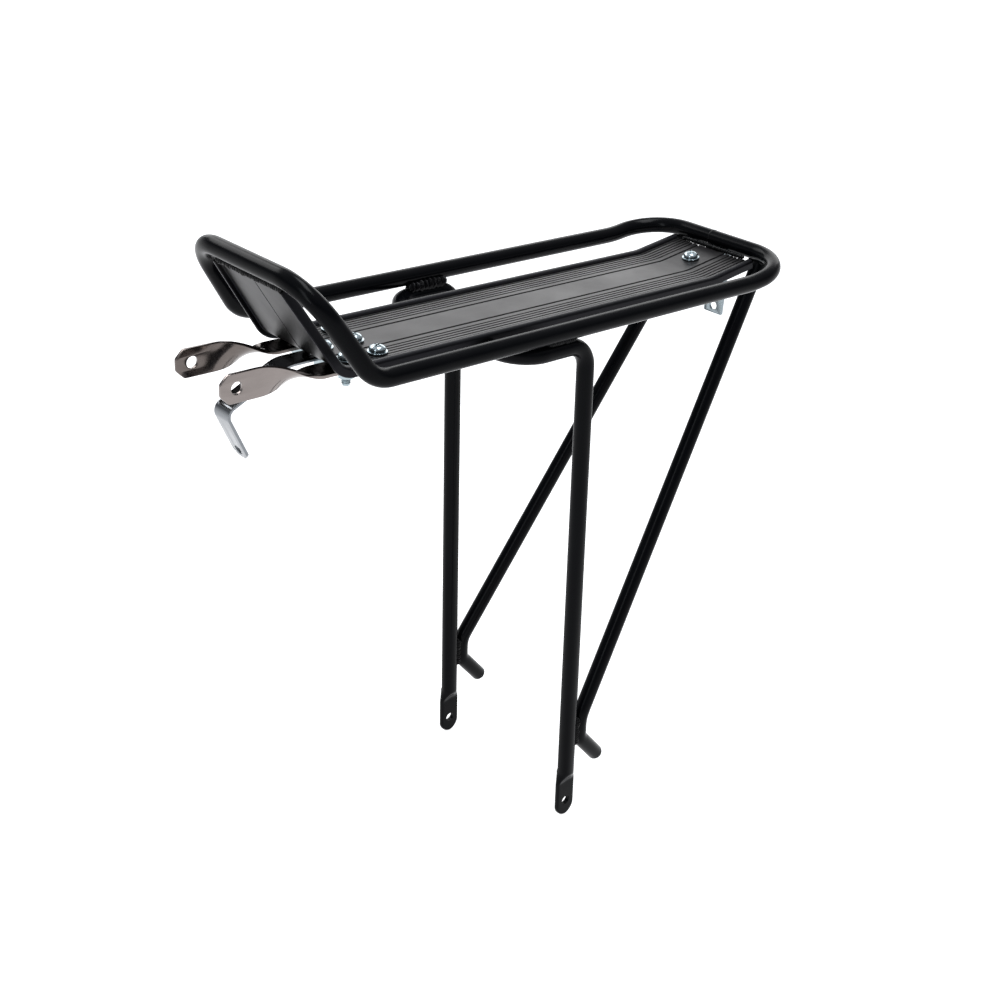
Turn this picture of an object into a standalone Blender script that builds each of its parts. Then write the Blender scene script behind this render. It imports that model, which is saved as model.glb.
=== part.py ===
"""Rear luggage carrier for a bicycle: a welded tube frame with a ribbed deck and three mounting straps.

Metres, +Z up, -X is the bicycle's front, +Y its right. The origin is midway between the two
eyelets at the ends of the legs, which bolt to the bicycle's rear axle lugs.
"""

import math

import bmesh
import bpy
from mathutils import Matrix, Vector

COLLECTION = "rear_luggage_carrier"
GAP = 0.0003

# Tube that the rails, the support and the stays are bent from
TUBE_RADIUS = 0.005
TUBE_BEVEL_STEPS = 4
ARC_STEP = math.radians(11)

# Frame loop: rails, raised rear crossbar and leaning front hoop
RAIL_HALF_SPACING = 0.058
RAIL_HEIGHT = 0.3266
REAR_KINK_X = 0.1203
REAR_RISE = math.radians(9.0)
REAR_KINK_RADIUS = 0.090
REAR_ARM_LENGTH = 0.0371
REAR_CORNER_RADIUS = 0.030
HOOP_FOOT_X = -0.1645
HOOP_LEAN = math.radians(56.5)
HOOP_ARM_LENGTH = 0.0580
HOOP_FOOT_RADIUS = 0.018
HOOP_HALF_WIDTH = 0.0490
HOOP_CORNER_RADIUS = 0.026

# Support: both legs and the member that crosses below the deck, in one tube
LEG_TOP_X = -0.0175
LEG_TOP_INSET = 0.0024
LEG_FOOT_HALF_SPACING = 0.0576
LEG_BEND_RADIUS = 0.0145
CROSS_MEMBER_X = -0.0675
CROSS_CORNER_RADIUS = 0.019

# Feet: the leg ends pressed flat
FOOT_WIDTH = 0.0144
FOOT_THICKNESS = 0.0030
FOOT_FLAT_LENGTH = 0.0145
FOOT_PRESS_LENGTH = 0.0090
FOOT_END_LENGTH = 0.0108
EYELET_RADIUS = 0.0032

# Rear stays, each ending in a pannier peg
STAY_EDGE_BEHIND_BAR = 0.0008
STAY_TOP_HALF_SPACING = 0.0304
STAY_JOIN_HEIGHT = 0.0605
STAY_JOIN_RADIUS = 0.020
PEG_HEIGHT = 0.0455
PEG_BEND_RADIUS = 0.0095
PEG_LENGTH = 0.0286
PEG_DROOP = math.radians(49)

# Deck plate
DECK_TOP_ABOVE_TUBE_BOTTOM = 0.0006
DECK_THICKNESS = 0.0012
DECK_HALF_WIDTH = 0.0335
LIP_WIDTH = 0.0048
LIP_RISE = 0.0019
LIP_EDGE_ROUND = 0.0006
FLANGE_DROP = 0.0026
FLANGE_THICKNESS = 0.0016
GROOVE_HALF_SPACING = 0.0109
GROOVE_HALF_WIDTH = 0.0006
GROOVE_DEPTH = 0.0006
UNDERSIDE_GROOVE_DEPTH = 0.0004
DECK_REAR_BEND_X = 0.1145
DECK_REAR_RISE = math.radians(8.6)
DECK_REAR_BEND_RADIUS = 0.040
DECK_REAR_END_GAP = 0.0024
TONGUE_BEND_X = -0.1635
TONGUE_BEND_RADIUS = 0.0125
TONGUE_TAPER = 0.87
NOTCH_CLEARANCE = 0.0006

# Mounting straps, slotted at the rear where two bolts hold each one under the deck
STRAP_LANE = 0.01975
STRAP_WIDTH = 0.0152
STRAP_THICKNESS = 0.0020
STRAP_EYELET_X = -0.2170
STRAP_TAIL_X = -0.1180
STRAP_END_LENGTH = 0.0090
STRAP_END_CHAMFER = 0.0045
STRAP_RISE = 0.0022
TWIST_START_X = -0.1700
TWIST_END_X = -0.2060
SLOT_CLEARANCE = 0.0005
SLOT_TRAVEL_FORWARD = 0.006
SLOT_TRAVEL_BACK = 0.005
BRIDGE_WIDTH = 0.0130
BRIDGE_THICKNESS = 0.0016
BRIDGE_END_CHAMFER = 0.0035
BRIDGE_SLOPE = math.radians(26)
BRIDGE_SLOPE_X = -0.1780
BRIDGE_SLOPE_RADIUS = 0.020
BRIDGE_CREASE_X = -0.2141
BRIDGE_CREASE_RADIUS = 0.0050
BRIDGE_LEG_LENGTH = 0.0308
BRIDGE_LEG_BACK = math.radians(25.5)
BRIDGE_HOLE_END = 0.0050
BRIDGE_HOLE_RADIUS = 0.0026

# Bolts, washers and nuts: M5
BOLT_REAR_ROW_X = -0.1330
BOLT_ROW_SPACING = 0.0195
BOLT_RADIUS = 0.0024
BOLT_HOLE_CLEARANCE = 0.0004
BOLT_HEAD_RADIUS = 0.0045
BOLT_HEAD_HEIGHT = 0.0028
BOLT_END_PROJECTION = 0.0043
WASHER_RADIUS = 0.0054
WASHER_THICKNESS = 0.0009
NUT_ACROSS_FLATS = 0.0080
NUT_HEIGHT = 0.0040
DRILL_LENGTH = 0.0140

# Reflector bracket, on its own bolt below the rear of the deck
BRACKET_BOLT_X = 0.1300
BRACKET_WIDTH = 0.0150
BRACKET_THICKNESS = 0.0018
BRACKET_LEG_X = 0.1595
BRACKET_TAIL_LENGTH = 0.0085
BRACKET_DROP = 0.0430
BRACKET_BEND_RADIUS = 0.0030
BRACKET_HOLE_RADIUS = 0.0027
BRACKET_HOLE_END = 0.0048

# Sizes that follow from those above, so that what meets or passes through stays in place
DECK_TOP_BELOW_RAIL = TUBE_RADIUS - DECK_TOP_ABOVE_TUBE_BOTTOM
SUPPORT_DROP = DECK_TOP_BELOW_RAIL + DECK_THICKNESS + GAP + TUBE_RADIUS
LEG_TOP_HALF_SPACING = RAIL_HALF_SPACING - LEG_TOP_INSET
BOLT_HOLE_RADIUS = BOLT_RADIUS + BOLT_HOLE_CLEARANCE
SLOT_HALF_WIDTH = BOLT_RADIUS + SLOT_CLEARANCE

BLACK_PAINT = ((0.012, 0.013, 0.015, 1.0), 0.42, 0.0)
ANODISED = ((0.11, 0.11, 0.115, 1.0), 0.45, 1.0)
BRIGHT_PLATE = ((0.62, 0.57, 0.53, 1.0), 0.16, 1.0)
ZINC_PLATE = ((0.62, 0.66, 0.70, 1.0), 0.28, 1.0)


def clear_scene():
    for obj in list(bpy.data.objects):
        bpy.data.objects.remove(obj, do_unlink=True)


def new_collection(name):
    collection = bpy.data.collections.new(name)
    bpy.context.scene.collection.children.link(collection)
    return collection


def new_material(name, look):
    colour, roughness, metallic = look
    material = bpy.data.materials.new(name)
    material.use_nodes = True
    shader = material.node_tree.nodes["Principled BSDF"]
    shader.inputs["Base Color"].default_value = colour
    shader.inputs["Roughness"].default_value = roughness
    shader.inputs["Metallic"].default_value = metallic
    return material


def rounded_path(corners, radii, closed=False):
    """Points along straight runs between the corners, each corner replaced by an arc of its radius."""
    corners = [Vector(corner) for corner in corners]
    count = len(corners)
    points = []
    for index, corner in enumerate(corners):
        if not closed and index in (0, count - 1):
            points.append(corner)
            continue
        to_last = (corners[index - 1] - corner).normalized()
        to_next = (corners[(index + 1) % count] - corner).normalized()
        between = to_last.angle(to_next)
        turn = math.pi - between
        radius = radii[index]
        start = corner + to_last * (radius / math.tan(between / 2))
        centre = corner + (to_last + to_next).normalized() * (radius / math.sin(between / 2))
        axis = to_next.cross(to_last).normalized()
        steps = max(1, round(turn / ARC_STEP))
        for step in range(steps + 1):
            swing = Matrix.Rotation(turn * step / steps, 3, axis)
            points.append(centre + swing @ (start - centre))
    return points


def curve_object(name, points, closed=False):
    """A curve through the points, on a straight-sided spline."""
    data = bpy.data.curves.new(name, "CURVE")
    data.dimensions = "3D"
    spline = data.splines.new("POLY")
    spline.points.add(len(points) - 1)
    for slot, point in zip(spline.points, points):
        slot.co = (point[0], point[1], point[2], 1.0)
    spline.use_cyclic_u = closed
    return bpy.data.objects.new(name, data)


def face_outward(shape):
    """Makes every face of a closed body agree, and turns them all round if they enclose a negative volume."""
    bmesh.ops.recalc_face_normals(shape, faces=shape.faces)
    if shape.calc_volume(signed=True) < 0:
        bmesh.ops.reverse_faces(shape, faces=shape.faces)


def mesh_from(source, collection):
    """Replaces a curve object with a mesh object whose caps are welded on."""
    collection.objects.link(source)
    bpy.context.view_layer.update()
    evaluated = source.evaluated_get(bpy.context.evaluated_depsgraph_get())
    mesh = bpy.data.meshes.new_from_object(evaluated)
    mesh.name = source.name
    name = source.name
    bpy.data.objects.remove(source, do_unlink=True)
    shape = bmesh.new()
    shape.from_mesh(mesh)
    bmesh.ops.remove_doubles(shape, verts=shape.verts, dist=1e-6)
    face_outward(shape)
    shape.to_mesh(mesh)
    shape.free()
    result = bpy.data.objects.new(name, mesh)
    collection.objects.link(result)
    return result


def tube(name, points, collection, material, closed=False):
    source = curve_object(name, points, closed)
    source.data.bevel_depth = TUBE_RADIUS
    source.data.bevel_resolution = TUBE_BEVEL_STEPS
    source.data.use_fill_caps = True
    result = mesh_from(source, collection)
    finish(result, material)
    return result


def finish(obj, material, sharp=math.radians(35)):
    obj.data.materials.clear()
    obj.data.materials.append(material)
    obj.data.shade_smooth()
    obj.data.set_sharp_from_angle(angle=sharp)


def outline(width, from_x, to_x, chamfer):
    """Corners of a flat bar from from_x down to to_x, its far end chamfered."""
    half = width / 2
    return [
        (from_x, -half),
        (from_x, half),
        (to_x + chamfer, half),
        (to_x, half - chamfer),
        (to_x, chamfer - half),
        (to_x + chamfer, -half),
    ]


def round_hole(x, radius, steps=16):
    return slot_hole(x, x, radius, steps)


def slot_hole(low_x, high_x, radius, steps=16):
    """Points round a slot with half-round ends, or round a circle where both ends are the same."""
    points = []
    for step in range(steps):
        angle = 2 * math.pi * (step + 0.5) / steps
        centre = high_x if math.cos(angle) > 0 else low_x
        points.append((centre + radius * math.cos(angle), radius * math.sin(angle)))
    return points


def flat_bar(name, loops, thickness, collection):
    """A plate of this thickness from closed loops in the XY plane: the outline, then its holes."""
    data = bpy.data.curves.new(name, "CURVE")
    data.dimensions = "2D"
    data.fill_mode = "BOTH"
    data.extrude = thickness / 2
    for loop in loops:
        spline = data.splines.new("POLY")
        spline.points.add(len(loop) - 1)
        for slot, (x, y) in zip(spline.points, loop):
            slot.co = (x, y, 0.0, 1.0)
        spline.use_cyclic_u = True
    return mesh_from(bpy.data.objects.new(name, data), collection)


def form_bar(obj, stations, place):
    """Cuts the flat bar at each station along X, then moves every point to place(x, y, z)."""
    shape = bmesh.new()
    shape.from_mesh(obj.data)
    for station in stations:
        everything = shape.verts[:] + shape.edges[:] + shape.faces[:]
        bmesh.ops.bisect_plane(
            shape, geom=everything, dist=1e-7, plane_co=(station, 0, 0), plane_no=(1, 0, 0)
        )
    bmesh.ops.remove_doubles(shape, verts=shape.verts, dist=1e-6)
    bmesh.ops.triangulate(shape, faces=shape.faces[:])
    for vertex in shape.verts:
        vertex.co = place(*vertex.co)
    face_outward(shape)
    shape.to_mesh(obj.data)
    shape.free()


def spaced(start, end, count):
    return [start + (end - start) * step / count for step in range(count + 1)]


def ease(share):
    share = min(1.0, max(0.0, share))
    return share * share * (3 - 2 * share)


def move_origin(obj, point):
    """Puts the object's origin at a point, leaving its surface where it is."""
    obj.data.transform(Matrix.Translation(-Vector(point)))
    obj.location = point


def crossbar_centre():
    """X and Z of the rear crossbar's axis."""
    x = REAR_KINK_X + REAR_ARM_LENGTH * math.cos(REAR_RISE)
    z = RAIL_HEIGHT + REAR_ARM_LENGTH * math.sin(REAR_RISE)
    return x, z


def hoop_top():
    """X and Z of the axis of the hoop's top bar."""
    x = HOOP_FOOT_X - HOOP_ARM_LENGTH * math.cos(HOOP_LEAN)
    z = RAIL_HEIGHT + HOOP_ARM_LENGTH * math.sin(HOOP_LEAN)
    return x, z


def build_frame_loop(collection, material):
    rear_x, rear_z = crossbar_centre()
    top_x, top_z = hoop_top()
    side = RAIL_HALF_SPACING
    right = [
        (top_x, HOOP_HALF_WIDTH, top_z),
        (HOOP_FOOT_X, side, RAIL_HEIGHT),
        (REAR_KINK_X, side, RAIL_HEIGHT),
        (rear_x, side, rear_z),
    ]
    left = [(x, -y, z) for x, y, z in reversed(right)]
    bends = [HOOP_CORNER_RADIUS, HOOP_FOOT_RADIUS, REAR_KINK_RADIUS, REAR_CORNER_RADIUS]
    points = rounded_path(right + left, bends + bends[::-1], closed=True)
    return tube("frame_loop", points, collection, material, closed=True)


def press_foot(obj, side, top, foot):
    """Presses the leg's end flat across Y, widens it and rounds its end."""
    axis = (Vector(foot) - Vector(top)).normalized()
    across = Vector((0, 1, 0)) - axis * axis.y
    across.normalize()
    along = across.cross(axis)
    eyelet = Vector(foot)
    for vertex in obj.data.vertices:
        offset = vertex.co - eyelet
        if vertex.co.y * side < 0:
            continue
        height = -offset.dot(axis)
        if height > FOOT_FLAT_LENGTH + FOOT_PRESS_LENGTH:
            continue
        share = ease(1 - (height - FOOT_FLAT_LENGTH) / FOOT_PRESS_LENGTH)
        wide = 1 + share * (FOOT_WIDTH / 2 / TUBE_RADIUS - 1)
        half_thick = TUBE_RADIUS + share * (FOOT_THICKNESS / 2 - TUBE_RADIUS)
        end_height = height + FOOT_END_LENGTH - FOOT_WIDTH / 2
        if end_height < 0:
            wide *= math.sqrt(max(0.12, 1 - (end_height / (FOOT_WIDTH / 2)) ** 2))
        u = offset.dot(along) * wide
        v = max(-half_thick, min(half_thick, offset.dot(across)))
        vertex.co = eyelet - axis * height + along * u + across * v


def leg_ends(side):
    """Where one leg's axis leaves the top bend's corner, and its eyelet."""
    top = (LEG_TOP_X, side * LEG_TOP_HALF_SPACING, RAIL_HEIGHT - SUPPORT_DROP)
    return top, (0.0, side * LEG_FOOT_HALF_SPACING, 0.0)


def foot_path(side):
    """The straight leg from above its pressed end to its tip, with a point at each change of section."""
    top, foot = leg_ends(side)
    axis = (Vector(foot) - Vector(top)).normalized()
    low = FOOT_WIDTH / 2 - FOOT_END_LENGTH
    heights = spaced(FOOT_FLAT_LENGTH + FOOT_PRESS_LENGTH, FOOT_FLAT_LENGTH, 4)
    heights.append(low)
    heights += [low - FOOT_WIDTH / 2 * math.sin(angle) for angle in spaced(0.35, math.pi / 2, 4)]
    return [Vector(foot) - axis * height for height in heights]


def build_support(collection, material):
    height = RAIL_HEIGHT - SUPPORT_DROP
    cross = [(CROSS_MEMBER_X, side * LEG_TOP_HALF_SPACING, height) for side in (-1, 1)]
    left_top, left_foot = leg_ends(-1)
    right_top, right_foot = leg_ends(1)
    corners = [left_foot, left_top, *cross, right_top, right_foot]
    bends = [0, LEG_BEND_RADIUS, CROSS_CORNER_RADIUS, CROSS_CORNER_RADIUS, LEG_BEND_RADIUS, 0]
    middle = rounded_path(corners, bends)[1:-1]
    points = foot_path(-1)[::-1] + middle + foot_path(1)
    obj = tube("support_frame", points, collection, material)
    for side, top, foot in ((-1, left_top, left_foot), (1, right_top, right_foot)):
        press_foot(obj, side, top, foot)
    finish(obj, material)
    for side in (-1, 1):
        eyelet = (0, side * LEG_FOOT_HALF_SPACING, 0)
        drill(obj, eyelet, (0, 1, 0), EYELET_RADIUS, DRILL_LENGTH)
    return obj


def leg_point(side, height):
    """The point on one leg's axis at this height."""
    top, foot = leg_ends(side)
    return Vector(foot).lerp(Vector(top), height / top[2])


def build_stay(name, side, collection, material):
    """A straight run from the rear crossbar to the leg, a run along the leg, then the peg."""
    beside = 2 * TUBE_RADIUS + GAP
    top, foot = leg_ends(side)
    leg_axis = (Vector(foot) - Vector(top)).normalized()
    behind = Vector((0, 1, 0)).cross(leg_axis).normalized()
    if behind.x < 0:
        behind.negate()
    join = leg_point(side, STAY_JOIN_HEIGHT) + behind * beside
    bend = leg_point(side, PEG_HEIGHT) + behind * beside
    peg_way = Vector((math.cos(PEG_DROOP), 0, -math.sin(PEG_DROOP)))
    rear_x, rear_z = crossbar_centre()
    target = Vector((rear_x, side * STAY_TOP_HALF_SPACING, rear_z))
    up = (target - join).normalized()
    rearward = Vector((0, 1, 0)).cross(up).normalized()
    aim = target + rearward * (TUBE_RADIUS + STAY_EDGE_BEHIND_BAR)
    up = (aim - join).normalized()
    shy = math.sqrt((TUBE_RADIUS + GAP) ** 2 - STAY_EDGE_BEHIND_BAR**2)
    end = aim - up * (shy + GAP)
    corners = [end, join, bend, bend + peg_way * PEG_LENGTH]
    points = rounded_path(corners, [0, STAY_JOIN_RADIUS, PEG_BEND_RADIUS, 0])
    return tube(name, points, collection, material)


def deck_path():
    """The middle of the deck's top face, from its rear end to the end of its tongue, in X and Z."""
    rear_x, rear_z = crossbar_centre()
    top_x, top_z = hoop_top()
    level = RAIL_HEIGHT - DECK_TOP_BELOW_RAIL
    rear_length = rear_x - TUBE_RADIUS - DECK_REAR_END_GAP - DECK_REAR_BEND_X
    rear_end = (rear_x - TUBE_RADIUS - DECK_REAR_END_GAP, 0, level + rear_length * math.tan(DECK_REAR_RISE))
    tongue_run = Vector((-math.cos(HOOP_LEAN), 0, math.sin(HOOP_LEAN)))
    to_bar = Vector((top_x - TONGUE_BEND_X, 0, top_z - level))
    tongue_length = to_bar.dot(tongue_run) - TUBE_RADIUS - 2 * GAP
    tongue_end = Vector((TONGUE_BEND_X, 0, level)) + tongue_run * tongue_length
    corners = [rear_end, (DECK_REAR_BEND_X, 0, level), (TONGUE_BEND_X, 0, level), tongue_end]
    return rounded_path(corners, [0, DECK_REAR_BEND_RADIUS, TONGUE_BEND_RADIUS, 0])


def deck_section():
    """The deck's section: Y across and Z up from its top face."""
    half = DECK_HALF_WIDTH
    inner = half - LIP_WIDTH
    web = half - FLANGE_THICKNESS
    right = []
    for edge in (-GROOVE_HALF_WIDTH, 0, GROOVE_HALF_WIDTH):
        depth = 0 if edge else -GROOVE_DEPTH
        right.append((GROOVE_HALF_SPACING + edge, depth))
    right += [
        (inner, 0),
        (inner + LIP_EDGE_ROUND, LIP_RISE),
        (half - LIP_EDGE_ROUND, LIP_RISE),
        (half, LIP_RISE - LIP_EDGE_ROUND),
        (half, -DECK_THICKNESS - FLANGE_DROP),
        (web, -DECK_THICKNESS - FLANGE_DROP),
        (web, -DECK_THICKNESS),
        (GROOVE_HALF_WIDTH, -DECK_THICKNESS),
    ]
    left = [(-y, z) for y, z in reversed(right)]
    return right + [(0, UNDERSIDE_GROOVE_DEPTH - DECK_THICKNESS)] + left


def build_deck(collection, cutters, material):
    section_points = [(y, z, 0) for y, z in deck_section()]
    section = curve_object("deck_section", section_points, closed=True)
    section.data.dimensions = "2D"
    cutters.objects.link(section)
    section.hide_render = True
    path = deck_path()
    source = curve_object("deck_plate", path)
    tongue_start = path[-2].x
    for slot, point in zip(source.data.splines[0].points, path):
        if point.x < tongue_start:
            slot.radius = TONGUE_TAPER
    source.data.twist_mode = "Z_UP"
    source.data.bevel_mode = "OBJECT"
    source.data.bevel_object = section
    source.data.use_fill_caps = True
    obj = mesh_from(source, collection)
    bpy.data.objects.remove(section, do_unlink=True)
    finish(obj, material, sharp=math.radians(25))
    notch = box_cutter(
        "support_notch",
        (CROSS_MEMBER_X, 0, RAIL_HEIGHT - SUPPORT_DROP),
        (TUBE_RADIUS + NOTCH_CLEARANCE, DECK_HALF_WIDTH * 2, TUBE_RADIUS + GAP),
        cutters,
    )
    cut(obj, notch)
    for place in strap_bolt_places():
        drill(obj, place, (0, 0, 1), BOLT_HOLE_RADIUS, DRILL_LENGTH)
    place, up = bracket_bolt_frame()
    drill(obj, place, up, BOLT_HOLE_RADIUS, DRILL_LENGTH)
    return obj


def box_cutter(name, centre, half_sizes, cutters):
    bpy.ops.mesh.primitive_cube_add(size=2, location=centre)
    cutter = bpy.context.active_object
    cutter.name = name
    cutter.scale = half_sizes
    bpy.ops.object.transform_apply(location=False, rotation=False, scale=True)
    return to_cutters(cutter, cutters)


def to_cutters(cutter, cutters):
    for collection in list(cutter.users_collection):
        collection.objects.unlink(cutter)
    cutters.objects.link(cutter)
    cutter.hide_render = True
    cutter.display_type = "WIRE"
    return cutter


def drill(obj, centre, axis, radius, length):
    """Cuts a round hole of this length through the object, centred on a point."""
    bpy.ops.mesh.primitive_cylinder_add(vertices=16, radius=radius, depth=length, location=centre)
    cutter = bpy.context.active_object
    cutter.name = obj.name + "_drill"
    cutter.rotation_mode = "QUATERNION"
    cutter.rotation_quaternion = Vector(axis).to_track_quat("Z", "X")
    cut(obj, to_cutters(cutter, CUTTERS))


def cut(obj, cutter):
    modifier = obj.modifiers.new(cutter.name, "BOOLEAN")
    modifier.operation = "DIFFERENCE"
    modifier.object = cutter


def strap_bolt_places():
    """The deck's top face at each of the six strap bolts: rear row, then front row."""
    level = RAIL_HEIGHT - DECK_TOP_BELOW_RAIL
    rows = (BOLT_REAR_ROW_X, BOLT_REAR_ROW_X - BOLT_ROW_SPACING)
    return [Vector((x, lane, level)) for x in rows for lane in (-STRAP_LANE, 0, STRAP_LANE)]


def bracket_bolt_frame():
    """Where the reflector bolt meets the sloping deck's top face, and the way up from that face."""
    level = RAIL_HEIGHT - DECK_TOP_BELOW_RAIL
    rise = (BRACKET_BOLT_X - DECK_REAR_BEND_X) * math.tan(DECK_REAR_RISE)
    up = Vector((-math.sin(DECK_REAR_RISE), 0, math.cos(DECK_REAR_RISE)))
    return Vector((BRACKET_BOLT_X, 0, level + rise)), up


def strap_level(thickness):
    """Height of the middle plane of a strap of this thickness below the deck."""
    return RAIL_HEIGHT - DECK_TOP_BELOW_RAIL - DECK_THICKNESS - GAP - thickness / 2


def strap_slot():
    """The slot round the two bolts, long enough for the strap to slide by its travel each way."""
    front = BOLT_REAR_ROW_X - BOLT_ROW_SPACING
    return slot_hole(front - SLOT_TRAVEL_BACK, BOLT_REAR_ROW_X + SLOT_TRAVEL_FORWARD, SLOT_HALF_WIDTH)


def build_twisted_strap(name, side, collection, material):
    end_x = STRAP_EYELET_X - STRAP_END_LENGTH
    loops = [
        outline(STRAP_WIDTH, STRAP_TAIL_X, end_x, STRAP_END_CHAMFER),
        strap_slot(),
        round_hole(STRAP_EYELET_X, EYELET_RADIUS),
    ]
    obj = flat_bar(name, loops, STRAP_THICKNESS, collection)
    level = strap_level(STRAP_THICKNESS)

    def place(x, y, z):
        share = (x - TWIST_START_X) / (TWIST_END_X - TWIST_START_X)
        angle = -math.pi / 2 * ease(share)
        turned = Matrix.Rotation(angle, 3, "X") @ Vector((0, y, z))
        rise = STRAP_RISE * ease(share)
        return Vector((x, side * STRAP_LANE + turned.y, level + rise + turned.z))

    form_bar(obj, spaced(TWIST_START_X, TWIST_END_X, 14), place)
    finish(obj, material)
    return obj


def path_placer(points, lane):
    """A function that lays a flat bar along a path in X and Z, counting length along X from the first point."""
    lengths = [0.0]
    for last, point in zip(points, points[1:]):
        lengths.append(lengths[-1] + (point - last).length)

    def normal(index):
        before = points[max(0, index - 1)]
        after = points[min(len(points) - 1, index + 1)]
        along = (after - before).normalized()
        return Vector((-along.z, 0, along.x))

    def place(x, y, z):
        index = 0
        while index < len(points) - 2 and x > lengths[index + 1]:
            index += 1
        share = (x - lengths[index]) / (lengths[index + 1] - lengths[index])
        middle = points[index].lerp(points[index + 1], share)
        up = normal(index).lerp(normal(index + 1), share).normalized()
        return middle + up * z + Vector((0, lane + y, 0))

    return place, lengths


def build_bridge_strap(collection, material):
    level = strap_level(BRIDGE_THICKNESS)
    crease_z = level - (BRIDGE_SLOPE_X - BRIDGE_CREASE_X) * math.tan(BRIDGE_SLOPE)
    crease = Vector((BRIDGE_CREASE_X, 0, crease_z))
    leg = Vector((math.sin(BRIDGE_LEG_BACK), 0, -math.cos(BRIDGE_LEG_BACK)))
    corners = [
        (STRAP_TAIL_X, 0, level),
        (BRIDGE_SLOPE_X, 0, level),
        crease,
        crease + leg * BRIDGE_LEG_LENGTH,
    ]
    points = rounded_path(corners, [0, BRIDGE_SLOPE_RADIUS, BRIDGE_CREASE_RADIUS, 0])
    place, lengths = path_placer(points, 0)
    total = lengths[-1]
    half = BRIDGE_WIDTH / 2
    corner = BRIDGE_END_CHAMFER
    edge = [
        (0, -half),
        (total - corner, -half),
        (total, corner - half),
        (total, half - corner),
        (total - corner, half),
        (0, half),
    ]
    slot = [(STRAP_TAIL_X - x, y) for x, y in strap_slot()]
    hole = round_hole(total - BRIDGE_HOLE_END, BRIDGE_HOLE_RADIUS)
    obj = flat_bar("strap_bridge", [edge, slot, hole], BRIDGE_THICKNESS, collection)
    form_bar(obj, lengths[1:-1], place)
    finish(obj, material)
    return obj


def build_bracket(collection, material):
    """An angle whose short arm lies under the sloping deck and whose long arm hangs down."""
    bolt, up = bracket_bolt_frame()
    under = DECK_THICKNESS + GAP + BRACKET_THICKNESS / 2
    along = Vector((math.cos(DECK_REAR_RISE), 0, math.sin(DECK_REAR_RISE)))
    seat = bolt - up * under
    reach = (BRACKET_LEG_X - seat.x) / along.x
    corner = seat + along * reach
    corners = [seat - along * BRACKET_TAIL_LENGTH, corner, corner - Vector((0, 0, BRACKET_DROP))]
    points = rounded_path(corners, [0, BRACKET_BEND_RADIUS, 0])
    place, lengths = path_placer(points, 0)
    total = lengths[-1]
    half = BRACKET_WIDTH / 2
    loops = [
        [(0, -half), (total, -half), (total, half), (0, half)],
        round_hole(BRACKET_TAIL_LENGTH, BOLT_HOLE_RADIUS),
        round_hole(total - BRACKET_HOLE_END, BRACKET_HOLE_RADIUS),
    ]
    obj = flat_bar("reflector_bracket", loops, BRACKET_THICKNESS, collection)
    form_bar(obj, lengths[1:-1], place)
    finish(obj, material)
    move_origin(obj, seat)
    return obj


def turned(name, profile, collection, steps=16):
    """A solid of revolution about Z: the profile's radii and heights run down its outer side."""
    mesh = bpy.data.meshes.new(name)
    shape = bmesh.new()
    vertices = [shape.verts.new((radius, 0, height)) for radius, height in profile]
    for first, second in zip(vertices, vertices[1:]):
        shape.edges.new((first, second))
    shape.to_mesh(mesh)
    shape.free()
    obj = bpy.data.objects.new(name, mesh)
    collection.objects.link(obj)
    screw = obj.modifiers.new("turn", "SCREW")
    screw.steps = steps
    screw.render_steps = steps
    screw.use_merge_vertices = True
    screw.merge_threshold = 1e-5
    return obj


def ring(name, inner, outer, thickness, collection):
    half = thickness / 2
    profile = [(inner, half), (outer, half), (outer, -half), (inner, -half), (inner, half)]
    return turned(name, profile, collection)


def nut(name, collection):
    """A hexagon nut with its bore, centred on its own middle."""
    bpy.ops.mesh.primitive_cylinder_add(
        vertices=6, radius=NUT_ACROSS_FLATS / math.sqrt(3), depth=NUT_HEIGHT
    )
    obj = bpy.context.active_object
    obj.name = name
    for owner in list(obj.users_collection):
        owner.objects.unlink(obj)
    collection.objects.link(obj)
    drill_cutter = turned(
        name + "_bore",
        [(0, NUT_HEIGHT), (BOLT_RADIUS + GAP, NUT_HEIGHT), (BOLT_RADIUS + GAP, -NUT_HEIGHT), (0, -NUT_HEIGHT)],
        CUTTERS,
        steps=12,
    )
    drill_cutter.hide_render = True
    drill_cutter.display_type = "WIRE"
    drill_cutter.parent = obj
    cut(obj, drill_cutter)
    return obj


def bolt(name, shank, collection):
    """A pan head with its underside at height 0 over a plain shank of this length."""
    head = BOLT_HEAD_HEIGHT
    profile = [
        (0, head),
        (BOLT_HEAD_RADIUS * 0.55, head * 0.94),
        (BOLT_HEAD_RADIUS * 0.88, head * 0.68),
        (BOLT_HEAD_RADIUS, head * 0.30),
        (BOLT_HEAD_RADIUS, 0),
        (BOLT_RADIUS, 0),
        (BOLT_RADIUS, -shank),
        (0, -shank),
    ]
    return turned(name, profile, collection)


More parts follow.
